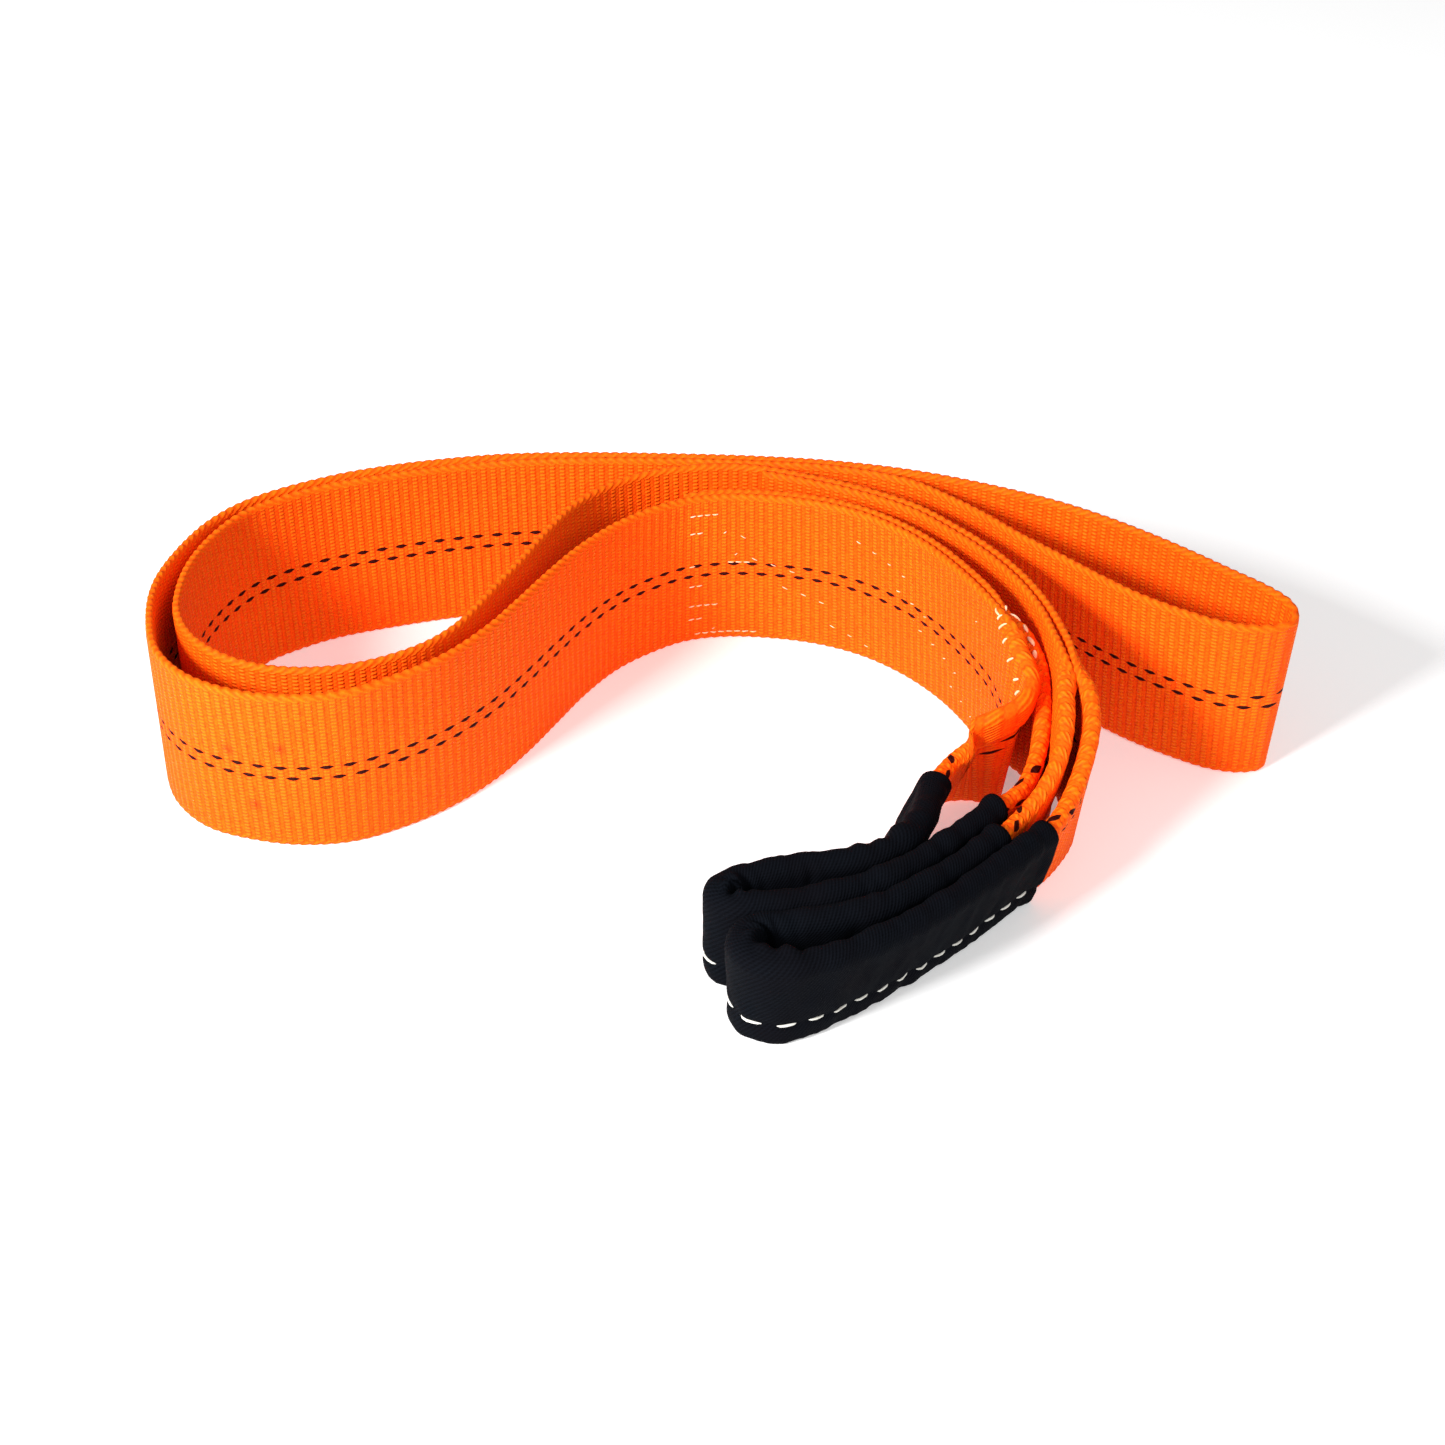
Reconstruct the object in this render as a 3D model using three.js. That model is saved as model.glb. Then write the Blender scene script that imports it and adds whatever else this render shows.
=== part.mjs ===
// Tow strap of wide orange webbing with an eye at each end, laid down doubled and standing on its edge.
// The webbing is one length: each end is turned back on itself and sewn, which makes a splice and an eye.
// In each eye the webbing is folded in half along its length and runs inside a black cloth sleeve.
// Units are millimetres. +X is along the laid strap, +Y points to its far side and +Z is up.
// The origin lies under the middle of the laid strap, on the surface that it stands on.
import * as THREE from "three";

// Webbing
const WEBBING_WIDTH = 75;
const WEBBING_THICKNESS = 3.2;
const SEWN_LAYER_GAP = 0.5; // between the two layers of a splice, and inside a folded leg

// Sleeves of cloth round the eyes
const SLEEVE_CLOTH = 0.9;
const SLEEVE_CLEARANCE = 0.7; // between the cloth and the folded webbing inside it

// Fineness of the solids
const STEPS_PER_SPAN = 2;
const FOLD_STEPS = 2; // across the rounded fold of a leg
const SLEEVE_ROUND_STEPS = 4; // across the round top of a sleeve

// Colours
const ORANGE = new THREE.Color(0xff5a08);
const BLACK = new THREE.Color(0x0d0d12);

const LAYER_PITCH = WEBBING_THICKNESS + SEWN_LAYER_GAP;
const LEAST_FLAP = WEBBING_THICKNESS / 2; // keeps the outline's last two points apart where it is flat
const SLEEVE_FLOOR = SLEEVE_CLOTH + SLEEVE_CLEARANCE;
const SLEEVE_INSIDE = LAYER_PITCH + WEBBING_THICKNESS + 2 * SLEEVE_CLEARANCE;
const SLEEVE_THICKNESS = SLEEVE_INSIDE + 2 * SLEEVE_CLOTH;

// The route is the middle of the webbing's lower edge, from one cut end to the other.
// Each point is [x, y, lean, fold]. lean is the angle in degrees by which the top leans to the left of
// the route. fold runs from 0, flat, to 1, where the upper half lies folded over to the right.

// First splice, from its start on the front band to the first eye
const FIRST_SPLICE = [
  [-15.5, 117.3, -4, 0],
  [2.5, 120.8, -4, 0],
  [22.5, 119.5, -4, 0],
  [43.5, 114.3, -4, 0],
  [61.5, 105.3, -4, 0],
  [77.5, 91.8, -4, 0],
  [89.5, 77.3, -4, 0],
  [98, 63.3, -4, 0],
  [105.5, 46.3, -3, 0],
  [111, 28.3, -1.5, 0],
];
// First eye, from the splice round the eye and back to it
const FIRST_EYE_OUT = [
  [117.5, 22.8, 0.5, 0.1],
  [120.6, 17.3, 0, 0.2],
  [124.4, 7.3, 0, 0.3],
  [124.7, -4.2, 0, 0.45],
  [122, -15.7, 2.3, 0.7],
  [115.7, -27, 8.5, 0.9],
  [107.5, -37.2, 15, 1],
];
const FIRST_EYE_SLEEVED = [
  [97.7, -45.7, 16.5, 1],
  [86.9, -57.3, 17.5, 1],
  [74, -70.2, 18, 1],
  [60, -83.7, 18, 1],
  [46.5, -93.2, 16.5, 1],
  [34, -100.7, 13.5, 1],
  [23, -105.7, 10.5, 1],
  [13, -109.4, 7.5, 1],
  [5, -111.7, 3, 1],
  [-0.2, -108.2, 0, 1],
  [-0.2, -101.7, 0, 1],
  [6, -96.4, -3, 1],
  [17, -91.7, -3, 1],
  [29, -86.7, -4.5, 1],
  [41, -82.7, -9, 1],
  [52.7, -77, -13.5, 1],
  [61.5, -68.4, -15, 1],
  [66, -56.7, -18, 1],
  [67.5, -44.7, -21, 1],
  [69, -32.7, -22, 1],
];
const FIRST_EYE_BACK = [
  [73, -21.7, -23, 0.98],
  [78.5, -11.2, -25, 0.85],
  [87.5, -3.2, -27, 0.65],
  [98, -1.2, -27, 0.5],
  [106.3, -3.2, -20, 0.45],
  [110.6, -2.2, -8.5, 0.35],
  [113.2, 4.3, -3.5, 0.2],
  [112.9, 12.3, 0, 0.05],
];
// Main length, from the first splice round the doubled loops to the second splice
const FRONT_BAND = [
  [-31.5, 107.3, 3, 0],
  [-45.5, 94.3, 2.5, 0],
  [-58.5, 75.3, 1, 0],
  [-69.5, 54.3, 0, 0],
  [-80.5, 33.3, 0, 0],
  [-92.5, 14.3, 1, 0],
  [-108.5, -3.7, 2.5, 0],
  [-125.5, -16.7, 3, 0],
  [-144.5, -26.2, 4, 0],
  [-164.5, -28.7, 4, 0],
  [-184.5, -25.2, 4, 0],
  [-203, -17.2, 2, 0],
  [-217.2, -1.2, 1, 0],
  [-224.5, 20.3, 0, 0],
];
const OUTER_REAR_BAND = [
  [-226, 44.3, 0.5, 0],
  [-221, 66.3, 1.5, 0],
  [-209.5, 92.3, 2.5, 0],
  [-195, 109.8, 2.5, 0],
  [-164.5, 128.1, 2.5, 0],
  [-140, 137, 2.5, 0],
  [-116, 142.7, 2.5, 0],
  [-91.2, 146.5, 2.5, 0],
  [-56.5, 147.7, 2.5, 0],
  [-22.5, 146.7, 2.5, 0],
  [12.5, 144.7, 2.5, 0],
  [46.5, 140.7, 2.5, 0],
  [80.5, 132.7, 2.5, 0],
  [113.5, 119.9, 2.5, 0],
  [145.5, 103.3, 2.3, 0],
  [176.5, 78.3, 3, 0],
  [202.5, 52.3, 3.5, 0],
];
const RIGHT_TURN = [
  [215, 38.8, 4, 0],
  [220.3, 29.8, 4.5, 0],
  [219.8, 22.3, 4.5, 0],
  [211.5, 19.8, 4.5, 0],
];
const INNER_REAR_BAND = [
  [199.5, 22.3, 4.5, 0],
  [185.5, 30.3, 4.5, 0],
  [170.5, 41.3, 4.5, 0],
  [155.5, 55.3, 4, 0],
  [139.5, 71.3, 3, 0],
  [125.5, 85.3, 2.5, 0],
  [112, 99.8, 1.5, 0],
  [97.5, 112.8, 0, 0],
  [77.5, 127.3, -1.5, 0],
  [46.5, 136.8, -2.5, 0],
  [12.5, 140.9, -2.5, 0],
  [-22.5, 142.8, -2.5, 0],
  [-56.5, 143.3, -2.5, 0],
  [-91.5, 140.8, -2.5, 0],
  [-116.5, 136.3, -2.5, 0],
  [-143, 128.8, -2.5, 0],
  [-167.5, 119.9, -2.5, 0],
  [-183.5, 110.5, -2.5, 0],
  [-196.5, 99.8, -2.5, 0],
];
const INNER_LEFT_TURN = [
  [-206.5, 84.3, -1.5, 0],
  [-213, 66.3, -1, 0],
  [-215.3, 46.3, -1, 0],
  [-213, 24.3, -1, 0],
  [-203.5, 6.3, -1, 0],
  [-188.5, -6.7, -1, 0],
  [-172.5, -13.2, -1, 0],
];
const MIDDLE_BAND = [
  [-157.5, -15.2, 0, 0],
  [-142.5, -13.2, 0, 0],
  [-127.5, -6.7, 0, 0],
  [-114.5, 2.3, 0, 0],
  [-103.5, 15.3, 0, 0],
  [-94.5, 31.8, 1, 0],
  [-87, 48.9, 1, 0],
  [-79.7, 65, 1, 0],
  [-71.5, 85, 1, 0],
  [-59.5, 108.3, 1.5, 0],
  [-45.5, 123.3, 1.5, 0],
  [-26.5, 133.3, 2.5, 0],
  [-3.5, 137.9, 2.5, 0],
];
// Second splice, from its start behind the front band to the second eye
const SECOND_SPLICE = [
  [16.5, 136.5, 2.5, 0],
  [33.5, 131.3, 1.5, 0],
  [51.5, 123.8, 1.5, 0],
  [68.5, 114.8, 1, 0],
  [82.5, 104.8, 1, 0],
  [95.5, 91.8, 0, 0],
  [108.5, 75.3, 0, 0],
  [120.5, 54.3, 0, 0],
  [128.5, 33.3, 0, 0],
];
const SECOND_EYE_OUT = [
  [133.3, 14.3, 0, 0],
  [136.1, -0.7, -0.6, 0],
  [136.6, -15.7, 2.2, 0.08],
  [134.2, -29.9, 7, 0.3],
  [128, -42.6, 11, 0.65],
  [120.7, -53.6, 15, 0.92],
];
const SECOND_EYE_SLEEVED = [
  [114, -61.9, 18, 1],
  [103.5, -73.5, 18, 1],
  [90, -87.7, 18, 1],
  [75.5, -102.2, 18, 1],
  [61.5, -114.7, 18, 1],
  [47.5, -126.2, 16.5, 1],
  [34.5, -135.7, 13.5, 1],
  [24.5, -141.2, 10.5, 1],
  [15.5, -141.7, 7.5, 1],
  [9, -136.7, 3, 1],
  [7.5, -128.7, 0, 1],
  [12.5, -121.7, -6, 1],
  [21.5, -117.7, -10.5, 1],
  [30.5, -114.7, -13.5, 1],
  [39.5, -111.2, -15, 1],
  [53.5, -103.7, -18, 1],
  [67.5, -92.7, -18, 1],
  [82.5, -79.2, -18, 1],
  [95.8, -64.5, -18, 1],
];
const SECOND_EYE_BACK = [
  [103, -55.4, -17, 0.95],
  [111.7, -46.7, -15.5, 0.8],
  [119.6, -37.6, -12, 0.5],
  [126.6, -25.6, -4, 0.2],
  [130.1, -11.7, -0.3, 0.05],
  [130.9, 1.3, 0.5, 0],
  [128.9, 15.3, 0, 0],
];

const reversed = (points) => [...points].reverse().map(([x, y, lean, fold]) => [x, y, -lean, fold]);

// The points between the first and the last, each moved to its left, for the layer that is sewn on there.
function beside(points, pitch) {
  return points.slice(1, -1).map(([x, y, lean, fold], i) => {
    const before = points[i];
    const after = points[i + 2];
    const length = Math.hypot(after[0] - before[0], after[1] - before[1]);
    const left = [-(after[1] - before[1]) / length, (after[0] - before[0]) / length];
    return [x + left[0] * pitch, y + left[1] * pitch, lean, fold];
  });
}

const ROUTE = [
  ...beside([FRONT_BAND[0], ...FIRST_SPLICE, FIRST_EYE_BACK.at(-1)], LAYER_PITCH),
  ...FIRST_EYE_OUT,
  ...FIRST_EYE_SLEEVED,
  ...FIRST_EYE_BACK,
  ...reversed(FIRST_SPLICE),
  ...FRONT_BAND,
  ...OUTER_REAR_BAND,
  ...RIGHT_TURN,
  ...INNER_REAR_BAND,
  ...INNER_LEFT_TURN,
  ...MIDDLE_BAND,
  ...SECOND_SPLICE,
  ...SECOND_EYE_OUT,
  ...SECOND_EYE_SLEEVED,
  ...SECOND_EYE_BACK,
  ...reversed(beside([MIDDLE_BAND.at(-1), ...SECOND_SPLICE, SECOND_EYE_OUT[0]], -LAYER_PITCH)),
];
const FIRST_SLEEVE_START = FIRST_SPLICE.length + FIRST_EYE_OUT.length;
const SECOND_SLEEVE_END = ROUTE.length - SECOND_SPLICE.length - SECOND_EYE_BACK.length;
const SECOND_SLEEVE_START = SECOND_SLEEVE_END - SECOND_EYE_SLEEVED.length;

const CURVE = new THREE.CatmullRomCurve3(ROUTE.map(([x, y]) => new THREE.Vector3(x, y, 0)));

const isSleeved = (index) =>
  (index >= FIRST_SLEEVE_START && index < FIRST_SLEEVE_START + FIRST_EYE_SLEEVED.length) ||
  (index >= SECOND_SLEEVE_START && index < SECOND_SLEEVE_END);

// How far an outline reaches below its own middle line when it leans.
function depthBelow(outline, tilt) {
  return Math.max(...outline.map(([across, up]) => across * Math.sin(tilt) - up * Math.cos(tilt)));
}

// The webbing stands on the surface, and in a sleeve on the cloth under it.
function liftAt(index, fold, tilt) {
  return depthBelow(isSleeved(index) ? sleeveOutside() : webbingOutline(fold), tilt);
}

// The place, the directions across and up, and the fold at a distance along the route, in spans.
function stationAt(span) {
  const last = ROUTE.length - 1;
  const from = Math.min(Math.floor(span), last - 1);
  const share = THREE.MathUtils.smoothstep(span - from, 0, 1);
  const between = (a, b) => THREE.MathUtils.lerp(a, b, share);
  const [, , leanFrom, foldFrom] = ROUTE[from];
  const [, , leanTo, foldTo] = ROUTE[from + 1];
  const tilt = THREE.MathUtils.degToRad(between(leanFrom, leanTo));
  const along = CURVE.getTangent(span / last);
  const left = new THREE.Vector3(-along.y, along.x, 0).normalize();
  const up = new THREE.Vector3(0, 0, Math.cos(tilt)).addScaledVector(left, Math.sin(tilt));
  const across = new THREE.Vector3(0, 0, -Math.sin(tilt)).addScaledVector(left, Math.cos(tilt));
  const fold = between(foldFrom, foldTo);
  const place = CURVE.getPoint(span / last);
  place.z = between(liftAt(from, fold, tilt), liftAt(from + 1, fold, tilt));
  return { place, across, up, fold };
}

// Outline of the webbing as [across, up] round its middle line, whose upper part folds over to the right.
function webbingOutline(fold) {
  const bendLength = (Math.PI * LAYER_PITCH) / 2;
  const folded = (fold * WEBBING_WIDTH) / 2;
  const turn = Math.PI * Math.min(1, folded / bendLength);
  const flap = Math.max(LEAST_FLAP, folded - bendLength / 2);
  const line = [[0, 0, 0]];
  let [x, y] = [0, WEBBING_WIDTH - bendLength - flap];
  for (let i = 0; i <= FOLD_STEPS; i += 1) {
    line.push([x, y, (turn * i) / FOLD_STEPS]);
    const middle = (turn * (i + 0.5)) / FOLD_STEPS;
    x -= (Math.sin(middle) * bendLength) / FOLD_STEPS;
    y += (Math.cos(middle) * bendLength) / FOLD_STEPS;
  }
  const [endX, endY] = line.at(-1);
  line.push([endX - Math.sin(turn) * flap, endY + Math.cos(turn) * flap, turn]);
  const centre = ((-LAYER_PITCH / 2) * turn) / Math.PI;
  const offset = ([px, py, angle], distance) => [
    px - centre + Math.cos(angle) * distance,
    py + Math.sin(angle) * distance,
  ];
  const leftSide = line.map((point) => offset(point, WEBBING_THICKNESS / 2));
  const rightSide = line.map((point) => offset(point, -WEBBING_THICKNESS / 2));
  return [...leftSide, ...rightSide.reverse()];
}

// A closed ring of points round a sleeve's section, with a round top and a flat bottom.
function sleeveOutline(thickness, bottom, top) {
  const radius = thickness / 2;
  const ring = [];
  for (let i = 0; i <= SLEEVE_ROUND_STEPS; i += 1) {
    const angle = (Math.PI * i) / SLEEVE_ROUND_STEPS;
    ring.push([radius * Math.cos(angle), top - radius + radius * Math.sin(angle)]);
  }
  return [...ring, [-radius, bottom], [radius, bottom]];
}

function foldedHeight() {
  return Math.max(...webbingOutline(1).map(([, up]) => up));
}

function sleeveInside() {
  return sleeveOutline(SLEEVE_INSIDE, -SLEEVE_CLEARANCE, foldedHeight() + SLEEVE_CLEARANCE);
}

function sleeveOutside() {
  return sleeveOutline(SLEEVE_THICKNESS, -SLEEVE_FLOOR, foldedHeight() + SLEEVE_FLOOR);
}

// Joins rings of the same count into a closed skin. A closed list of rings makes a band.
function skin(rings, capped) {
  const count = rings[0].length;
  const positions = rings.flat().flatMap((p) => [p.x, p.y, p.z]);
  const faces = [];
  const spans = capped ? rings.length - 1 : rings.length;
  for (let i = 0; i < spans; i += 1) {
    const next = (i + 1) % rings.length;
    for (let j = 0; j < count; j += 1) {
      const k = (j + 1) % count;
      faces.push(i * count + j, i * count + k, next * count + k);
      faces.push(i * count + j, next * count + k, next * count + j);
    }
  }
  const geometry = new THREE.BufferGeometry();
  geometry.setAttribute("position", new THREE.Float32BufferAttribute(positions, 3));
  if (capped) {
    const cap = THREE.ShapeUtils.triangulateShape(capped, []);
    const last = (rings.length - 1) * count;
    cap.forEach(([a, b, c]) => faces.push(c, b, a, last + a, last + b, last + c));
  }
  geometry.setIndex(faces);
  return geometry;
}

function ringAt(station, outline) {
  return outline.map(([across, up]) =>
    station.place.clone().addScaledVector(station.across, across).addScaledVector(station.up, up),
  );
}

function buildWebbing() {
  const rings = [];
  const last = ROUTE.length - 1;
  for (let step = 0; step <= last * STEPS_PER_SPAN; step += 1) {
    const station = stationAt(step / STEPS_PER_SPAN);
    rings.push(ringAt(station, webbingOutline(station.fold)));
  }
  const flat = webbingOutline(0).map(([x, y]) => new THREE.Vector2(x, y));
  return skin(rings, flat);
}

// A sleeve is a tube of cloth, open at both ends, over the points from start to end of the route.
function buildSleeve(start, end) {
  const stations = [];
  for (let step = start * STEPS_PER_SPAN; step <= end * STEPS_PER_SPAN; step += 1) {
    stations.push(stationAt(step / STEPS_PER_SPAN));
  }
  const outerRings = stations.map((station) => ringAt(station, sleeveOutside()));
  const innerRings = stations.map((station) => ringAt(station, sleeveInside()));
  return skin([...outerRings, ...innerRings.reverse()], null);
}

function named(name, geometry, colour, roughness) {
  const material = new THREE.MeshStandardMaterial({ color: colour, roughness, metalness: 0 });
  const mesh = new THREE.Mesh(geometry, material);
  mesh.name = name;
  return mesh;
}

const strap = new THREE.Group();
strap.add(named("strap_webbing", buildWebbing(), ORANGE, 0.75));
strap.add(
  named(
    "eye_sleeve_first",
    buildSleeve(FIRST_SLEEVE_START, FIRST_SLEEVE_START + FIRST_EYE_SLEEVED.length - 1),
    BLACK,
    0.9,
  ),
);
strap.add(
  named("eye_sleeve_second", buildSleeve(SECOND_SLEEVE_START, SECOND_SLEEVE_END - 1), BLACK, 0.9),
);

export default strap;
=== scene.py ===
# Tow strap of wide orange webbing with a black-sleeved eye at each end, laid down doubled on its edge.
# The webbing is one sheet along its route, with woven ribs, selvedges, tracer lines and sewn splices.
# Each sleeve is a tube of cloth round the folded webbing of an eye, with puckers and a running stitch.
import math

import bpy
import numpy as np
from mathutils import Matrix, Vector, noise


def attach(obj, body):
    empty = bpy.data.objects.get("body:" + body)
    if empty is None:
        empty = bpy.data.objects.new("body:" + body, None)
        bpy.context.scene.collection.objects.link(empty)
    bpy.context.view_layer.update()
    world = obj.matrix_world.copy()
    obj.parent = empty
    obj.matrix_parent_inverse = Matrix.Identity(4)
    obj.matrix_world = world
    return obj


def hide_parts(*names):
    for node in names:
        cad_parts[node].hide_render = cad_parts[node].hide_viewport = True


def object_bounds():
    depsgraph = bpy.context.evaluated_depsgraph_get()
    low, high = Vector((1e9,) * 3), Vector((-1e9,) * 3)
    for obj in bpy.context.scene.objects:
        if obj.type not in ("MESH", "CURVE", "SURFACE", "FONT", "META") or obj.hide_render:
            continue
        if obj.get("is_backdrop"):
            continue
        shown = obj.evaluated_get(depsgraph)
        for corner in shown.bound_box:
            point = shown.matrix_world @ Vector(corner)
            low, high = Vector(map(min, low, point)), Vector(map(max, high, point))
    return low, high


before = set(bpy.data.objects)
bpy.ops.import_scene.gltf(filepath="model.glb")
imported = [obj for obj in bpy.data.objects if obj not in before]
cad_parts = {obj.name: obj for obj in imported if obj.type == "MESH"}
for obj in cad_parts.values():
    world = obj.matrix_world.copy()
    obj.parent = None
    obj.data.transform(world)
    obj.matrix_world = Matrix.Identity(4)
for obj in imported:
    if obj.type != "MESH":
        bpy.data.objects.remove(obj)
CAD_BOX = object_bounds()

# Webbing, in metres
WEBBING_WIDTH = 0.075
WEBBING_THICKNESS = 0.0032
SEWN_LAYER_GAP = 0.0005
PICK = 0.0042  # from one cross rib to the next
THREAD_PITCH = 0.00165  # from one warp yarn to the next, across the width
RIB_HEIGHT = 0.00013
STATIONS_PER_PICK = 3
FACE_ROWS = 6
BEND_ROWS = 6
FLAP_ROWS = 4
SELVEDGE = 0.0028  # width of the rounded, twisted edge
SCALLOP = 0.0003  # how far each pick's turn stands out of the selvedge
SELVEDGE_CLEAR = 1.2 * SELVEDGE  # the rows of the bend end this far from the edge
SELVEDGE_THINNESS = 0.5  # of the edge, as a share of the full thickness
SELVEDGE_STAGGER = math.pi / 3  # between the turns of the left and the right face
TRACER_PITCH = 2 * PICK  # from one dash to the next in a tracer line
TRACER_SPREAD = 0.0052  # between the two tracer lines
TRACER_LENGTH = 0.0056
TRACER_THICKNESS = 0.0018

# Sleeves, in metres
SLEEVE_CLOTH = 0.0009
SLEEVE_CLEARANCE = 0.0007
SLEEVE_STEP = 0.0013
STITCH_HEIGHT = 0.0105  # of the running stitch over the sleeve's lower edge
STITCH_PITCH = 0.0095
STITCH_LENGTH = 0.0066
STITCH_THICKNESS = 0.0011

# Sewing of the first splice, in metres: rows as (start, end, width), from its left end and the lower edge
SPLICE_ROWS = (
    (0.000, 0.014, 0.066),
    (0.000, 0.007, 0.057),
    (0.000, 0.004, 0.040),
    (0.018, 0.029, 0.041),
    (0.000, 0.008, 0.0295),
    (0.000, 0.014, 0.019),
    (0.000, 0.008, 0.012),
    (0.003, 0.031, 0.004),
)
SEWING_PITCH = 0.0036
SEWING_LENGTH = 0.0031
SEWING_THICKNESS = 0.0006
SEWING_SLANT = 0.05
STRAY_STITCHES = 28
STRAY_SPREADS = (0.618, 0.755, 0.387)  # spread the strays evenly along, across and in their turn
STRAY_START = 0.012
STRAY_LENGTH = 0.15
STRAY_LOWEST = 0.006
STRAY_HEIGHT = 0.062
STRAY_TURN = 1.2
STRAY_THINNESS = 0.7
ZIGZAG_LENGTH = 0.0052
ZIGZAG_THICKNESS = 0.0009
# End stitches of the first splice, on its front and its rear layer, as (distance, width, slope in radians)
FRONT_ZIGZAG = (
    (0.5925, 0.0735, 0.3),
    (0.5900, 0.0725, 1.9),
    (0.5860, 0.0705, 2.2),
    (0.5800, 0.0675, 2.1),
    (0.5745, 0.0625, 2.2),
    (0.5700, 0.0565, 2.2),
    (0.5680, 0.0520, 2.0),
)
REAR_ZIGZAG = (
    (0.1800, 0.0735, 0.2),
    (0.1850, 0.0710, -0.5),
    (0.1910, 0.0690, -0.4),
    (0.1965, 0.0670, -0.5),
    (0.2020, 0.0650, -0.4),
    (0.2080, 0.0630, -0.5),
)
STAINS = ((1.0107, 0.0457), (0.9903, 0.0493), (1.003, 0.020))  # as (distance, width)
STAIN_REACH = 0.004

# Camera
PHOTO_WIDTH = 1445
FOCAL_PIXELS = 2750
SENSOR_WIDTH = 36  # millimetres
CAMERA_PLACE = (0.0005, -0.8877, 0.660)
CAMERA_PITCH = math.radians(35)  # below the horizon

LAYER_PITCH = WEBBING_THICKNESS + SEWN_LAYER_GAP
BEND_LENGTH = math.pi * LAYER_PITCH / 2  # of the middle line round a folded leg's top
LEAST_FLAP = WEBBING_THICKNESS / 2
SLEEVE_FLOOR = SLEEVE_CLOTH + SLEEVE_CLEARANCE
SLEEVE_THICKNESS = LAYER_PITCH + WEBBING_THICKNESS + 2 * SLEEVE_FLOOR

# Finer values of the looks, in metres
FACE_OFFSET = 0.1  # keeps the right face's width coordinates apart from the left's
TRACER_SOFTNESS = 0.0001
WEAVE_RELIEF = 0.0007
SLEEVE_CORNER = 0.0028
SLEEVE_CORNER_ROWS = 4
SLEEVE_SIDE_ROWS = 25
SLEEVE_TOP_ROWS = 11
CREASE_PITCH = 0.0085
CREASE_DEPTH = 0.003
CREASE_SLANT = 0.25
CREASE_WANDER = 0.002
CREASE_UNEVENNESS = 0.8
CREASE_FINENESS = 1.7
PINCH = 2.2  # how soon the inside of a bend creases
BEND_REACH = 0.006
LEAST_RELIEF = -0.0006  # keeps the cloth off the webbing inside it
CLOTH_PUFF = 0.0004
CLOTH_UNEVENNESS = 0.0009
CLOTH_FOLDS = (0.009, 0.024, 0.02)  # size of its soft folds along, up and across
CLOTH_FRACTAL = (0.9, 2.1, 3)
SEAM_DEPTH = 0.0009
SEAM_WIDTH = 0.0018
PUCKER_DEPTH = 0.00025
PUCKER_REACH = 0.006
MOUTH_FLARE = 0.0012
MOUTH_REACH = 0.005
HEM_DEPTH = 0.0004
HEM_WIDTH = 0.007
HEM_GROOVE = 0.0018
FIRST_SEED = 3.0  # of the first sleeve's noise
SECOND_SEED = 11.0
STITCH_RISE = 0.3  # of a stitch's middle, in its thickness
STITCH_SINK = 0.7  # of its ends, in its thickness
FLOOR_CLEARANCE = 0.0002
TWILL_PITCH = 0.0013
FLOOR_SIZE = 8

# Colours, linear
# The bright and the deep webbing colours are painted light: a painted highlight on the raised yarns and
# painted shade in the grooves, mixed in by the weave's height.
WEBBING_YARN_HIGHLIGHT = (1.0, 0.175, 0.002, 1)
WEBBING_BODY = (1.0, 0.075, 0.0006, 1)
WEBBING_GROOVE_SHADE = (0.86, 0.034, 0.0, 1)
TRACER_COLOUR = (0.03, 0.0005, 0.0002, 1)
STAIN_COLOUR = (0.75, 0.012, 0.002, 1)
SLEEVE_FACE = (0.0034, 0.0046, 0.0072, 1)
# The deep sleeve colour is painted shade in the twill's grooves.
SLEEVE_TWILL_SHADE = (0.0006, 0.0009, 0.0016, 1)
SLEEVE_TINT = (0.003, 0.0022, 0.0034, 1)

# The route is the middle of the webbing's lower edge, from one cut end to the other.
# Each point is (x, y, lean, fold), with places in metres and lean in degrees to the left of the route.
# fold runs from 0, flat, to 1, where the upper half lies folded over to the right.

FIRST_SPLICE = [
    (-0.0155, 0.1173, -4, 0),
    (0.0025, 0.1208, -4, 0),
    (0.0225, 0.1195, -4, 0),
    (0.0435, 0.1143, -4, 0),
    (0.0615, 0.1053, -4, 0),
    (0.0775, 0.0918, -4, 0),
    (0.0895, 0.0773, -4, 0),
    (0.0980, 0.0633, -4, 0),
    (0.1055, 0.0463, -3, 0),
    (0.1110, 0.0283, -1.5, 0),
]
FIRST_EYE_OUT = [
    (0.1175, 0.0228, 0.5, 0.1),
    (0.1206, 0.0173, 0, 0.2),
    (0.1244, 0.0073, 0, 0.3),
    (0.1247, -0.0042, 0, 0.45),
    (0.1220, -0.0157, 2.3, 0.7),
    (0.1157, -0.0270, 8.5, 0.9),
    (0.1075, -0.0372, 15, 1),
]
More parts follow.
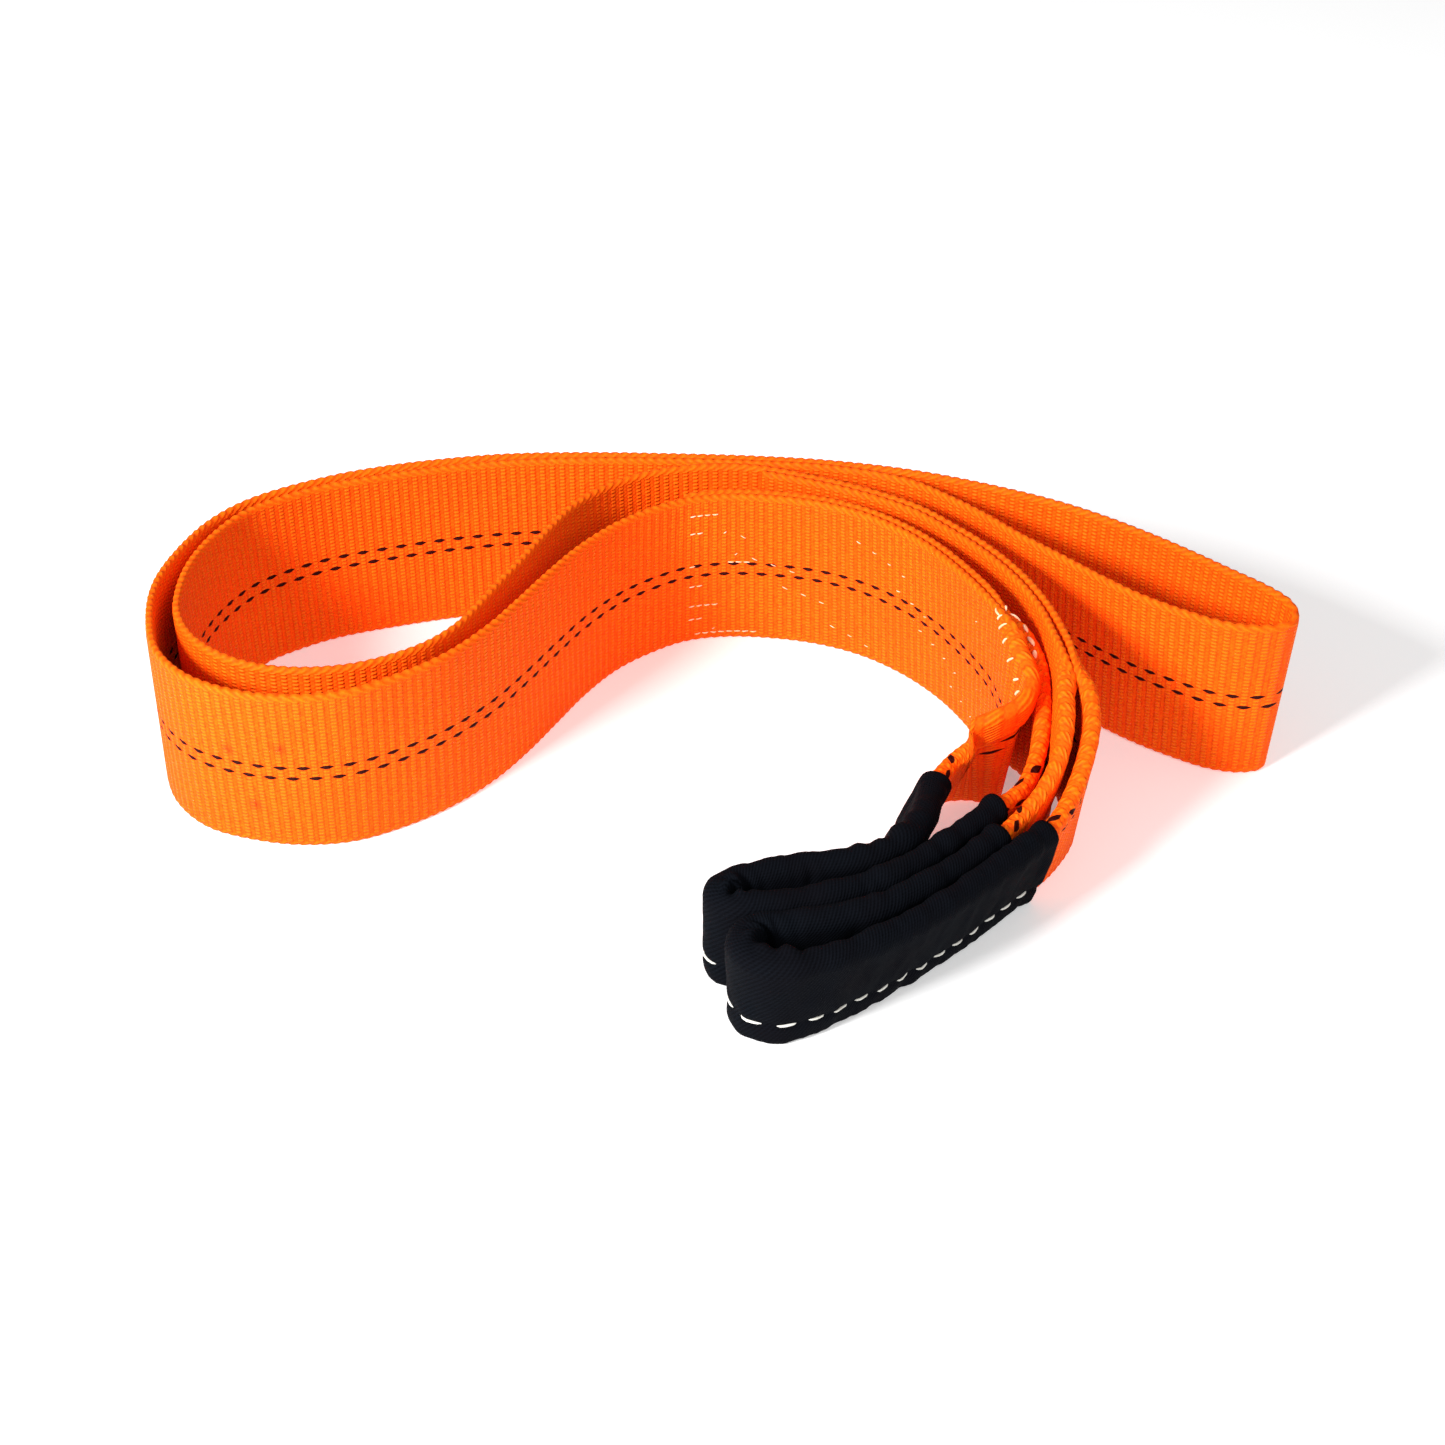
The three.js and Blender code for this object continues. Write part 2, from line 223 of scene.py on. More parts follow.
FIRST_EYE_SLEEVED = [
    (0.0977, -0.0457, 16.5, 1),
    (0.0869, -0.0573, 17.5, 1),
    (0.0740, -0.0702, 18, 1),
    (0.0600, -0.0837, 18, 1),
    (0.0465, -0.0932, 16.5, 1),
    (0.0340, -0.1007, 13.5, 1),
    (0.0230, -0.1057, 10.5, 1),
    (0.0130, -0.1094, 7.5, 1),
    (0.0050, -0.1117, 3, 1),
    (-0.0002, -0.1082, 0, 1),
    (-0.0002, -0.1017, 0, 1),
    (0.0060, -0.0964, -3, 1),
    (0.0170, -0.0917, -3, 1),
    (0.0290, -0.0867, -4.5, 1),
    (0.0410, -0.0827, -9, 1),
    (0.0527, -0.0770, -13.5, 1),
    (0.0615, -0.0684, -15, 1),
    (0.0660, -0.0567, -18, 1),
    (0.0675, -0.0447, -21, 1),
    (0.0690, -0.0327, -22, 1),
]
FIRST_EYE_BACK = [
    (0.0730, -0.0217, -23, 0.98),
    (0.0785, -0.0112, -25, 0.85),
    (0.0875, -0.0032, -27, 0.65),
    (0.0980, -0.0012, -27, 0.5),
    (0.1063, -0.0032, -20, 0.45),
    (0.1106, -0.0022, -8.5, 0.35),
    (0.1132, 0.0043, -3.5, 0.2),
    (0.1129, 0.0123, 0, 0.05),
]
FRONT_BAND = [
    (-0.0315, 0.1073, 3, 0),
    (-0.0455, 0.0943, 2.5, 0),
    (-0.0585, 0.0753, 1, 0),
    (-0.0695, 0.0543, 0, 0),
    (-0.0805, 0.0333, 0, 0),
    (-0.0925, 0.0143, 1, 0),
    (-0.1085, -0.0037, 2.5, 0),
    (-0.1255, -0.0167, 3, 0),
    (-0.1445, -0.0262, 4, 0),
    (-0.1645, -0.0287, 4, 0),
    (-0.1845, -0.0252, 4, 0),
    (-0.2030, -0.0172, 2, 0),
    (-0.2172, -0.0012, 1, 0),
    (-0.2245, 0.0203, 0, 0),
]
OUTER_REAR_BAND = [
    (-0.2260, 0.0443, 0.5, 0),
    (-0.2210, 0.0663, 1.5, 0),
    (-0.2095, 0.0923, 2.5, 0),
    (-0.1950, 0.1098, 2.5, 0),
    (-0.1645, 0.1281, 2.5, 0),
    (-0.1400, 0.1370, 2.5, 0),
    (-0.1160, 0.1427, 2.5, 0),
    (-0.0912, 0.1465, 2.5, 0),
    (-0.0565, 0.1477, 2.5, 0),
    (-0.0225, 0.1467, 2.5, 0),
    (0.0125, 0.1447, 2.5, 0),
    (0.0465, 0.1407, 2.5, 0),
    (0.0805, 0.1327, 2.5, 0),
    (0.1135, 0.1199, 2.5, 0),
    (0.1455, 0.1033, 2.3, 0),
    (0.1765, 0.0783, 3, 0),
    (0.2025, 0.0523, 3.5, 0),
]
RIGHT_TURN = [
    (0.2150, 0.0388, 4, 0),
    (0.2203, 0.0298, 4.5, 0),
    (0.2198, 0.0223, 4.5, 0),
    (0.2115, 0.0198, 4.5, 0),
]
INNER_REAR_BAND = [
    (0.1995, 0.0223, 4.5, 0),
    (0.1855, 0.0303, 4.5, 0),
    (0.1705, 0.0413, 4.5, 0),
    (0.1555, 0.0553, 4, 0),
    (0.1395, 0.0713, 3, 0),
    (0.1255, 0.0853, 2.5, 0),
    (0.1120, 0.0998, 1.5, 0),
    (0.0975, 0.1128, 0, 0),
    (0.0775, 0.1273, -1.5, 0),
    (0.0465, 0.1368, -2.5, 0),
    (0.0125, 0.1409, -2.5, 0),
    (-0.0225, 0.1428, -2.5, 0),
    (-0.0565, 0.1433, -2.5, 0),
    (-0.0915, 0.1408, -2.5, 0),
    (-0.1165, 0.1363, -2.5, 0),
    (-0.1430, 0.1288, -2.5, 0),
    (-0.1675, 0.1199, -2.5, 0),
    (-0.1835, 0.1105, -2.5, 0),
    (-0.1965, 0.0998, -2.5, 0),
]
INNER_LEFT_TURN = [
    (-0.2065, 0.0843, -1.5, 0),
    (-0.2130, 0.0663, -1, 0),
    (-0.2153, 0.0463, -1, 0),
    (-0.2130, 0.0243, -1, 0),
    (-0.2035, 0.0063, -1, 0),
    (-0.1885, -0.0067, -1, 0),
    (-0.1725, -0.0132, -1, 0),
]
MIDDLE_BAND = [
    (-0.1575, -0.0152, 0, 0),
    (-0.1425, -0.0132, 0, 0),
    (-0.1275, -0.0067, 0, 0),
    (-0.1145, 0.0023, 0, 0),
    (-0.1035, 0.0153, 0, 0),
    (-0.0945, 0.0318, 1, 0),
    (-0.0870, 0.0489, 1, 0),
    (-0.0797, 0.0650, 1, 0),
    (-0.0715, 0.0850, 1, 0),
    (-0.0595, 0.1083, 1.5, 0),
    (-0.0455, 0.1233, 1.5, 0),
    (-0.0265, 0.1333, 2.5, 0),
    (-0.0035, 0.1379, 2.5, 0),
]
SECOND_SPLICE = [
    (0.0165, 0.1365, 2.5, 0),
    (0.0335, 0.1313, 1.5, 0),
    (0.0515, 0.1238, 1.5, 0),
    (0.0685, 0.1148, 1, 0),
    (0.0825, 0.1048, 1, 0),
    (0.0955, 0.0918, 0, 0),
    (0.1085, 0.0753, 0, 0),
    (0.1205, 0.0543, 0, 0),
    (0.1285, 0.0333, 0, 0),
]
SECOND_EYE_OUT = [
    (0.1333, 0.0143, 0, 0),
    (0.1361, -0.0007, -0.6, 0),
    (0.1366, -0.0157, 2.2, 0.08),
    (0.1342, -0.0299, 7, 0.3),
    (0.1280, -0.0426, 11, 0.65),
    (0.1207, -0.0536, 15, 0.92),
]
SECOND_EYE_SLEEVED = [
    (0.1140, -0.0619, 18, 1),
    (0.1035, -0.0735, 18, 1),
    (0.0900, -0.0877, 18, 1),
    (0.0755, -0.1022, 18, 1),
    (0.0615, -0.1147, 18, 1),
    (0.0475, -0.1262, 16.5, 1),
    (0.0345, -0.1357, 13.5, 1),
    (0.0245, -0.1412, 10.5, 1),
    (0.0155, -0.1417, 7.5, 1),
    (0.0090, -0.1367, 3, 1),
    (0.0075, -0.1287, 0, 1),
    (0.0125, -0.1217, -6, 1),
    (0.0215, -0.1177, -10.5, 1),
    (0.0305, -0.1147, -13.5, 1),
    (0.0395, -0.1112, -15, 1),
    (0.0535, -0.1037, -18, 1),
    (0.0675, -0.0927, -18, 1),
    (0.0825, -0.0792, -18, 1),
    (0.0958, -0.0645, -18, 1),
]
SECOND_EYE_BACK = [
    (0.1030, -0.0554, -17, 0.95),
    (0.1117, -0.0467, -15.5, 0.8),
    (0.1196, -0.0376, -12, 0.5),
    (0.1266, -0.0256, -4, 0.2),
    (0.1301, -0.0117, -0.3, 0.05),
    (0.1309, 0.0013, 0.5, 0),
    (0.1289, 0.0153, 0, 0),
]


def reversed_points(points):
    """The same points the other way round, whose left is the old right."""
    return [(x, y, -lean, fold) for x, y, lean, fold in reversed(points)]


def beside(points, pitch):
    """The points between the first and the last, each moved to its left, for the layer sewn on there."""
    moved = []
    for before, point, after in zip(points, points[1:], points[2:]):
        run = Vector((after[0] - before[0], after[1] - before[1])).normalized()
        moved.append((point[0] - run.y * pitch, point[1] + run.x * pitch, point[2], point[3]))
    return moved


ROUTE = [
    *beside([FRONT_BAND[0], *FIRST_SPLICE, FIRST_EYE_BACK[-1]], LAYER_PITCH),
    *FIRST_EYE_OUT,
    *FIRST_EYE_SLEEVED,
    *FIRST_EYE_BACK,
    *reversed_points(FIRST_SPLICE),
    *FRONT_BAND,
    *OUTER_REAR_BAND,
    *RIGHT_TURN,
    *INNER_REAR_BAND,
    *INNER_LEFT_TURN,
    *MIDDLE_BAND,
    *SECOND_SPLICE,
    *SECOND_EYE_OUT,
    *SECOND_EYE_SLEEVED,
    *SECOND_EYE_BACK,
    *reversed_points(beside([MIDDLE_BAND[-1], *SECOND_SPLICE, SECOND_EYE_OUT[0]], -LAYER_PITCH)),
]
FIRST_SLEEVE = len(FIRST_SPLICE) + len(FIRST_EYE_OUT)
FIRST_SLEEVE_POINTS = (FIRST_SLEEVE, FIRST_SLEEVE + len(FIRST_EYE_SLEEVED) - 1)
FIRST_SPLICE_LEFT = FIRST_SLEEVE_POINTS[1] + len(FIRST_EYE_BACK) + len(FIRST_SPLICE)
SECOND_SLEEVE_LAST = len(ROUTE) - len(SECOND_SPLICE) - len(SECOND_EYE_BACK) - 1
SECOND_SLEEVE_POINTS = (SECOND_SLEEVE_LAST - len(SECOND_EYE_SLEEVED) + 1, SECOND_SLEEVE_LAST)

SAMPLES_PER_SPAN = 24
SMOOTHING = 0.008  # half the length over which lean and fold are evened out


def curve_point(span):
    """The place on the centripetal curve through the route, at a distance counted in spans."""
    places = [Vector(point[:2]) for point in ROUTE]
    index = min(int(span), len(places) - 2)
    share = span - index
    start, end = places[index], places[index + 1]
    before = places[index - 1] if index else 2 * start - end
    after = places[index + 2] if index + 2 < len(places) else 2 * end - start
    into, through, out = [math.sqrt((b - a).length) for a, b in ((before, start), (start, end), (end, after))]
    run = (end - start) / through
    leaving = ((start - before) / into - (end - before) / (into + through) + run) * through
    reaching = (run - (after - start) / (through + out) + (after - end) / out) * through
    square = 3 * (end - start) - 2 * leaving - reaching
    cube = 2 * (start - end) + leaving + reaching
    return start + leaving * share + square * share**2 + cube * share**3


def smoothstep(share):
    return share * share * (3 - 2 * share)


def evened(values, reach):
    """The values averaged over their neighbours within reach samples, twice."""
    window = np.ones(2 * reach + 1) / (2 * reach + 1)
    for _ in range(2):
        values = np.convolve(np.pad(values, reach, mode="edge"), window, mode="valid")
    return values


def middle_line(fold):
    """How a folded section runs: where its bend starts, the bend's radius, its turn and its centre."""
    folded = fold * WEBBING_WIDTH / 2
    turn = math.pi * min(1, folded / BEND_LENGTH)
    flap = max(LEAST_FLAP, folded - BEND_LENGTH / 2)
    return WEBBING_WIDTH - BEND_LENGTH - flap, flap, turn, -LAYER_PITCH / 2 * turn / math.pi


def section_point(fold, width, outward):
    """A point of the section as (across, up), at a width from the lower edge and outward to the left."""
    bend_start, flap, turn, centre = middle_line(fold)
    round_bend = min(max(width - bend_start, 0), BEND_LENGTH)
    angle = turn * round_bend / BEND_LENGTH
    if turn > 0:
        radius = BEND_LENGTH / turn
        x, y = radius * (math.cos(angle) - 1), bend_start + radius * math.sin(angle)
    else:
        x, y = 0, bend_start + round_bend
    rest = width - min(max(width, bend_start), bend_start + BEND_LENGTH)
    x -= math.sin(angle) * rest
    y += math.cos(angle) * rest
    return x - centre + math.cos(angle) * outward, y + math.sin(angle) * outward


def depth_below(outline, lean):
    """How far an outline reaches below its own middle line when it leans."""
    return max(across * math.sin(lean) - up * math.cos(lean) for across, up in outline)


def webbing_corners(fold):
    half = WEBBING_THICKNESS / 2
    return [section_point(fold, width, side * half) for width in (0, WEBBING_WIDTH) for side in (-1, 1)]


def folded_height():
    bend_start = middle_line(1)[0]
    return bend_start + LAYER_PITCH / 2 + WEBBING_THICKNESS / 2


def sleeve_corners():
    half = SLEEVE_THICKNESS / 2
    return [(-half, -SLEEVE_FLOOR), (half, -SLEEVE_FLOOR)]


def route_table():
    """Samples along the route, one array each: distance, x, y, heading, lean, fold, lift and knots."""
    spans = len(ROUTE) - 1
    steps = np.arange(spans * SAMPLES_PER_SPAN + 1) / SAMPLES_PER_SPAN
    places = np.array([curve_point(step) for step in steps])
    runs = np.diff(places, axis=0)
    distance = np.concatenate([[0], np.cumsum(np.hypot(runs[:, 0], runs[:, 1]))])
    even = np.arange(0, distance[-1], PICK / STATIONS_PER_PICK)
    index = np.minimum(steps.astype(int), spans - 1)
    share = smoothstep(steps - index)
    reach = round(SMOOTHING / (PICK / STATIONS_PER_PICK))

    def between(values):
        values = np.array(values, dtype=float)
        mixed = values[index] * (1 - share) + values[index + 1] * share
        return evened(np.interp(even, distance, mixed), reach)

    sleeved = [
        any(first <= i <= last for first, last in (FIRST_SLEEVE_POINTS, SECOND_SLEEVE_POINTS))
        for i in range(len(ROUTE))
    ]
    lean = np.radians(between([point[2] for point in ROUTE]))
    fold = between([point[3] for point in ROUTE])
    in_sleeve = between(sleeved)
    x, y = (np.interp(even, distance, places[:, axis]) for axis in (0, 1))
    heading = np.unwrap(np.arctan2(np.gradient(y), np.gradient(x)))
    lift = [
        (1 - inside) * depth_below(webbing_corners(part), tilt)
        + inside * depth_below(sleeve_corners(), tilt)
        for inside, part, tilt in zip(in_sleeve, fold, lean)
    ]
    knots = np.interp(np.arange(len(ROUTE)), steps, distance)
    return even, x, y, evened(heading, 1), lean, fold, np.array(lift), knots


DISTANCE, ROUTE_X, ROUTE_Y, HEADING, LEAN, FOLD, LIFT, KNOTS = route_table()
SPLICE_END = float(KNOTS[FIRST_SPLICE_LEFT])


def station_at(distance):
    """The place on the lower edge, the directions across, up and along, and the fold, at a distance."""
    columns = (ROUTE_X, ROUTE_Y, HEADING, LEAN, FOLD, LIFT)
    x, y, heading, lean, fold, lift = (float(np.interp(distance, DISTANCE, values)) for values in columns)
    along = Vector((math.cos(heading), math.sin(heading), 0))
    left = Vector((-along.y, along.x, 0))
    up = Vector((0, 0, math.cos(lean))) + left * math.sin(lean)
    across = Vector((0, 0, -math.sin(lean))) + left * math.cos(lean)
    return Vector((x, y, lift)), across, up, along, fold


def set_in_place(station, across, up):
    place, side, rise = station[:3]
    return place + side * across + rise * up


def section_widths(fold):
    """The widths at which the webbing has its rows of points, close together in its bend and its edges."""
    bend_start = middle_line(fold)[0]
    bend_end = min(bend_start + BEND_LENGTH, WEBBING_WIDTH - SELVEDGE_CLEAR)
    rows = [0, SELVEDGE / 3]
    rows += list(np.linspace(SELVEDGE, bend_start, FACE_ROWS))
    rows += list(np.linspace(bend_start, bend_end, BEND_ROWS))[1:]
    rows += list(np.linspace(bend_end, WEBBING_WIDTH - SELVEDGE, FLAP_ROWS))[1:]
    return rows + [WEBBING_WIDTH - SELVEDGE / 3, WEBBING_WIDTH]


def half_thickness(width):
    """Half the webbing's thickness at a width: full on the face and rounded off at both selvedges."""
    from_edge = min(width, WEBBING_WIDTH - width)
    rounding = min(1, from_edge / SELVEDGE)
    share = SELVEDGE_THINNESS + (1 - SELVEDGE_THINNESS) * math.sqrt(1 - (1 - rounding) ** 2)
    return WEBBING_THICKNESS / 2 * share


def webbing_point(station, distance, width, side, raised=0.0):
    """A point on the woven face on one side, 1 for left and -1 for right, with its ribs and selvedges."""
    rib = math.cos(2 * math.pi * distance / PICK)
    twist = math.cos(2 * math.pi * distance / PICK + side * SELVEDGE_STAGGER)
    outward = half_thickness(width) + RIB_HEIGHT * rib + raised
    from_edge = min(width, WEBBING_WIDTH - width)
    edge = max(0, 1 - from_edge / SELVEDGE)
    inward = 1 if width < WEBBING_WIDTH / 2 else -1
    width += inward * edge * SCALLOP * (1 - twist)
    across, up = section_point(station[4], width, side * outward)
    return set_in_place(station, across, up)


def finished(name, points, faces, material, smooth=True):
    """A mesh object from points and faces, with its material and smooth faces."""
    mesh = bpy.data.meshes.new(name)
    mesh.from_pydata(points, [], faces)
    mesh.materials.append(material)
    mesh.polygons.foreach_set("use_smooth", [smooth] * len(mesh.polygons))
    piece = bpy.data.objects.new(name, mesh)
    bpy.context.scene.collection.objects.link(piece)
    return piece


def make_webbing(material):
    """The whole length of webbing, a closed skin whose UV map holds metres along and metres across."""
    points, along, rings = [], [], []
    for distance in DISTANCE:
        station = station_at(distance)
        rows = section_widths(station[4])
        ring = [(row, 1) for row in rows] + [(row, -1) for row in reversed(rows)]
        points += [webbing_point(station, distance, row, side) for row, side in ring]
        rings.append(ring)
    count = len(rings[0])
    faces, maps = [], []
    for i in range(len(rings) - 1):
        for j in range(count):
            k = (j + 1) % count
            side = 1 if j < count // 2 else -1
            faces.append((i * count + j, i * count + k, (i + 1) * count + k, (i + 1) * count + j))
            offset = 0 if side == 1 else FACE_OFFSET
            for ring, column in ((i, j), (i, k), (i + 1, k), (i + 1, j)):
                maps.append((float(DISTANCE[ring]), rings[ring][column][0] + offset))
    last = (len(rings) - 1) * count
    for j in range(count // 2 - 1):
        pair = (j, j + 1, count - 2 - j, count - 1 - j)
        faces.append(tuple(reversed(pair)))
        faces.append(tuple(last + k for k in pair))
        maps += [(0.0, rings[0][k][0]) for k in reversed(pair)]
        maps += [(float(DISTANCE[-1]), rings[-1][k][0]) for k in pair]
    piece = finished("webbing", points, faces, material)
    layer = piece.data.uv_layers.new(name="weave")
    layer.data.foreach_set("uv", [value for pair in maps for value in pair])
    return piece


def sleeve_outline():
    """The sleeve's outer section as (across, up) points, with a round top and rounded lower corners."""
    radius = SLEEVE_THICKNESS / 2
    top = folded_height() + SLEEVE_FLOOR
    corner = SLEEVE_CORNER
    round_top = np.linspace(0, math.pi, SLEEVE_TOP_ROWS)
    points = [(radius * math.cos(turn), top - radius + radius * math.sin(turn)) for turn in round_top]
    side = list(np.linspace(top - radius, -SLEEVE_FLOOR + corner, SLEEVE_SIDE_ROWS))[1:]
    points += [(-radius, up) for up in side]
    bottom = []
    for centre, start in ((corner - radius, math.pi), (radius - corner, 1.5 * math.pi)):
        for turn in np.linspace(start, start + math.pi / 2, SLEEVE_CORNER_ROWS):
            rise = corner - SLEEVE_FLOOR + corner * math.sin(turn)
            bottom.append((centre + corner * math.cos(turn), rise))
    points += bottom[1:]
    points += [(radius, up) for up in reversed(side[:-1])]
    return points


def outline_normals(points):
    """The outward direction at each point of a closed outline."""
    normals = []
    for i, (across, up) in enumerate(points):
        before, after = points[i - 1], points[(i + 1) % len(points)]
        run = Vector((after[0] - before[0], after[1] - before[1])).normalized()
        normals.append((run.y, -run.x))
    return normals


def bend_at(distance):
    """How sharply the route turns to its left there, as one over the radius."""
    steps = (-BEND_REACH, BEND_REACH)
    before, after = (float(np.interp(distance + step, DISTANCE, HEADING)) for step in steps)
    return (after - before) / (2 * BEND_REACH)


def bump(away, width):
    """A soft bump that is 1 in its middle and fades within a few widths."""
    return math.exp(-((away / width) ** 2))


def seam_relief(distance, up, start):
    """The valley of the running stitch, and the puckers between its stitches."""
    over_seam = up - STITCH_HEIGHT + SLEEVE_FLOOR
    stitch = math.cos(2 * math.pi * (distance - start) / STITCH_PITCH)
    return PUCKER_DEPTH * stitch * bump(over_seam, PUCKER_REACH) - SEAM_DEPTH * bump(over_seam, SEAM_WIDTH)


def crease_relief(distance, up, place, seed):
    """Slanting creases of cloth that is pressed together."""
    wander = noise.noise(Vector((up / 0.008, distance / 0.02, seed)))
    slanted = distance + CREASE_SLANT * up + CREASE_WANDER * wander
    crease = math.cos(2 * math.pi * slanted / CREASE_PITCH)
    return CREASE_DEPTH * (0.5 + 0.5 * crease + CREASE_UNEVENNESS * noise.noise(place * CREASE_FINENESS))


def mouth_relief(from_end, place):
    """A mouth that flares unevenly, and the groove of its hem."""
    flare = MOUTH_FLARE * (0.6 + 0.5 * noise.noise(place * 0.6))
    return flare * bump(from_end, MOUTH_REACH) - HEM_DEPTH * bump(from_end - HEM_WIDTH, HEM_GROOVE)


def cloth_relief(distance, across, up, ends, seed):
    """How far the sleeve's cloth stands out from its plain outline: seam, soft folds, creases and mouths."""
    radius = SLEEVE_THICKNESS / 2
    face = abs(across) / radius
    along_size, up_size, across_size = CLOTH_FOLDS
    place = Vector((distance / along_size, up / up_size, seed + across / across_size))
    relief = CLOTH_PUFF + seam_relief(distance, up, ends[0]) * face
    relief += CLOTH_UNEVENNESS * noise.fractal(place, *CLOTH_FRACTAL)
    inner = max(0, bend_at(distance) * (1 if across > 0 else -1)) * radius
    pinched = min(1, PINCH * inner) * min(1, face + 0.3)
    relief += pinched * crease_relief(distance, up, place, seed)
    relief += mouth_relief(min(distance - ends[0], ends[1] - distance), place)
    return max(relief, LEAST_RELIEF)


def make_sleeve(name, knots, seed, material):
    """A tube of cloth round the folded webbing between two points of the route, open at both ends."""
    ends = [float(KNOTS[knot]) for knot in knots]
    outline = sleeve_outline()
    normals = outline_normals(outline)
    rings = round((ends[1] - ends[0]) / SLEEVE_STEP) + 1
    points, maps, faces = [], [], []
    around = [0.0]
    for before, after in zip(outline, outline[1:] + outline[:1]):
        around.append(around[-1] + math.dist(before, after))
    for distance in np.linspace(ends[0], ends[1], rings):
        station = station_at(distance)
        for (across, up), (out_across, out_up) in zip(outline, normals):
            out = cloth_relief(distance, across, up, ends, seed)
            points.append(set_in_place(station, across + out * out_across, up + out * out_up))
    count = len(outline)
    step = (ends[1] - ends[0]) / (rings - 1)
    for i in range(rings - 1):
        for j in range(count):
            k = (j + 1) % count
            faces.append((i * count + j, i * count + k, (i + 1) * count + k, (i + 1) * count + j))
            for ring, column in ((i, j), (i, j + 1), (i + 1, j + 1), (i + 1, j)):
                maps += [ring * step, around[column]]
    piece = finished(name, points, faces, material)
    piece.data.uv_layers.new(name="weave").data.foreach_set("uv", maps)
    thicken(piece, SLEEVE_CLOTH)
    for corner in piece.data.vertices:
        corner.co.z = max(corner.co.z, FLOOR_CLEARANCE)
    return piece


def thicken(piece, thickness):
    """Gives a skin its wall, inwards."""
    only(piece)
    wall = piece.modifiers.new("wall", "SOLIDIFY")
    wall.thickness = thickness
    wall.offset = -1
    bpy.ops.object.modifier_apply(modifier=wall.name)


def only(piece):
    """Makes a piece the only selected one, and the active one."""
    bpy.ops.object.select_all(action="DESELECT")
    piece.select_set(True)
    bpy.context.view_layer.objects.active = piece


def stitch_shape():
    """The corners and faces of one stitch, a spindle of unit length and thickness along X."""
    bpy.ops.mesh.primitive_uv_sphere_add(segments=8, ring_count=7, radius=0.5)
    master = bpy.context.active_object
    bpy.ops.object.mode_set(mode="EDIT")
    bpy.ops.mesh.select_all(action="SELECT")
    bpy.ops.transform.rotate(value=math.pi / 2, orient_axis="Y", center_override=(0, 0, 0))
    bpy.ops.object.mode_set(mode="OBJECT")
    corners = [corner.co.copy() for corner in master.data.vertices]
    faces = [tuple(face.vertices) for face in master.data.polygons]
    mesh = master.data
    bpy.data.objects.remove(master)
    bpy.data.meshes.remove(mesh)
    return corners, faces


def make_stitches(name, stitches, material):
    """One mesh of stitches, each a surface, a length and a thickness; the surface places its corners."""
    corners, shape = STITCH
    points, faces = [], []
    for surface, length, thickness in stitches:
        start = len(points)
        for corner in corners:
            rise = corner.z + STITCH_RISE - STITCH_SINK * (2 * corner.x) ** 4
            points.append(surface(corner.x * length, corner.y * thickness, rise * thickness))
        faces += [tuple(start + index for index in face) for face in shape]
    return finished(name, points, faces, material)


def on_sleeve(ends, seed, middle, side):
    """The surface of a sleeve's face round one stitch."""
    up = STITCH_HEIGHT - SLEEVE_FLOOR
    radius = SLEEVE_THICKNESS / 2

    def surface(along, sideways, outward):
        distance = middle + along
        out = radius + cloth_relief(distance, radius, up, ends, seed) + outward
        return set_in_place(station_at(distance), side * out, up + sideways)

    return surface


def on_webbing(middle, width, angle):
    """The surface of the webbing's left face round one stitch, turned by an angle from the webbing's run."""

    def surface(along, sideways, outward):
        distance = middle + along * math.cos(angle) - sideways * math.sin(angle)
        rise = width + along * math.sin(angle) + sideways * math.cos(angle)
        return webbing_point(station_at(distance), distance, rise, 1, outward)

    return surface


def sleeve_stitches(name, knots, seed, material):
    """The running stitch along both faces of a sleeve."""
    ends = [float(KNOTS[knot]) for knot in knots]
    count = int((ends[1] - ends[0] - STITCH_PITCH / 2) / STITCH_PITCH)
    stitches = []
    for side in (-1, 1):
        for i in range(count):
            middle = ends[0] + (i + 0.9) * STITCH_PITCH
            length = STITCH_LENGTH * (1 + 0.12 * noise.noise(Vector((i * 1.7, side, seed))))
            stitches.append((on_sleeve(ends, seed, middle, side), length, STITCH_THICKNESS))
    return make_stitches(name, stitches, material)


def splice_rows():
    """The sewing rows at the splice's left end."""
    for start, end, width in SPLICE_ROWS:
        for i in range(round((end - start) / SEWING_PITCH)):
            distance = SPLICE_END - start - (i + 0.5) * SEWING_PITCH
            yield on_webbing(distance, width, SEWING_SLANT * (i % 3 - 1)), SEWING_LENGTH, SEWING_THICKNESS


def stray_stitches():
    """Short ends of thread, scattered along the splice."""
    for i in range(STRAY_STITCHES):
        along, rise, turn = (i * spread % 1 for spread in STRAY_SPREADS)
        distance = SPLICE_END - STRAY_START - along * STRAY_LENGTH
        surface = on_webbing(distance, STRAY_LOWEST + rise * STRAY_HEIGHT, (turn - 0.5) * STRAY_TURN)
        yield surface, SEWING_LENGTH * (0.5 + 0.5 * turn), SEWING_THICKNESS * STRAY_THINNESS


def zigzag_stitches():
    """The strong stitches at the splice's eye end, every other one a quarter shorter."""
    for i, (distance, width, slope) in enumerate((*FRONT_ZIGZAG, *REAR_ZIGZAG)):
        yield on_webbing(distance, width, slope), ZIGZAG_LENGTH * (1 - 0.25 * (i % 2)), ZIGZAG_THICKNESS


def add_node(tree, kind, inputs=None, **settings):
    """A new node with its settings, whose inputs take values or other nodes' outputs."""
    node = tree.nodes.new(kind)
    for name, value in settings.items():
        setattr(node, name, value)
    for key, value in (inputs or {}).items():
        if isinstance(value, bpy.types.NodeSocket):
            tree.links.new(value, node.inputs[key])
        else:
            node.inputs[key].default_value = value
    return node


def calc(tree, operation, *values):
    return add_node(tree, "ShaderNodeMath", dict(enumerate(values)), operation=operation).outputs[0]


